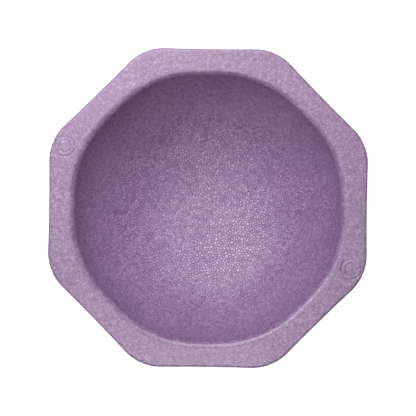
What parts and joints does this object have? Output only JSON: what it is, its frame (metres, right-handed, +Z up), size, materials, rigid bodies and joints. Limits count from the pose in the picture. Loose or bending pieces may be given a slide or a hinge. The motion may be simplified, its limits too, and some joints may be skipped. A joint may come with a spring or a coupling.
{
  "type": "octagonal foam bowl",
  "caption": "Moulded bead-foam bowl or liner: a soft-cornered octagonal rim around a smooth round hollow, a flat foot, creased corners and plain ring marks on the rim.",
  "frame": {"origin": "centre of the flat foot the bowl stands on", "axes": "+Z up out of the hollow, which is the bowl's axis; the rim's straight sides face +X, -X, +Y, -Y and the four diagonals between them"},
  "size_m": [0.2808, 0.2808, 0.12],
  "materials": {
    "bead_foam": "mottled lavender bead foam, every bead's outline showing, soft low sheen"
  },
  "bodies": {
    "root": {"foam_bowl": "bead_foam"}
  },
  "joints": []
}
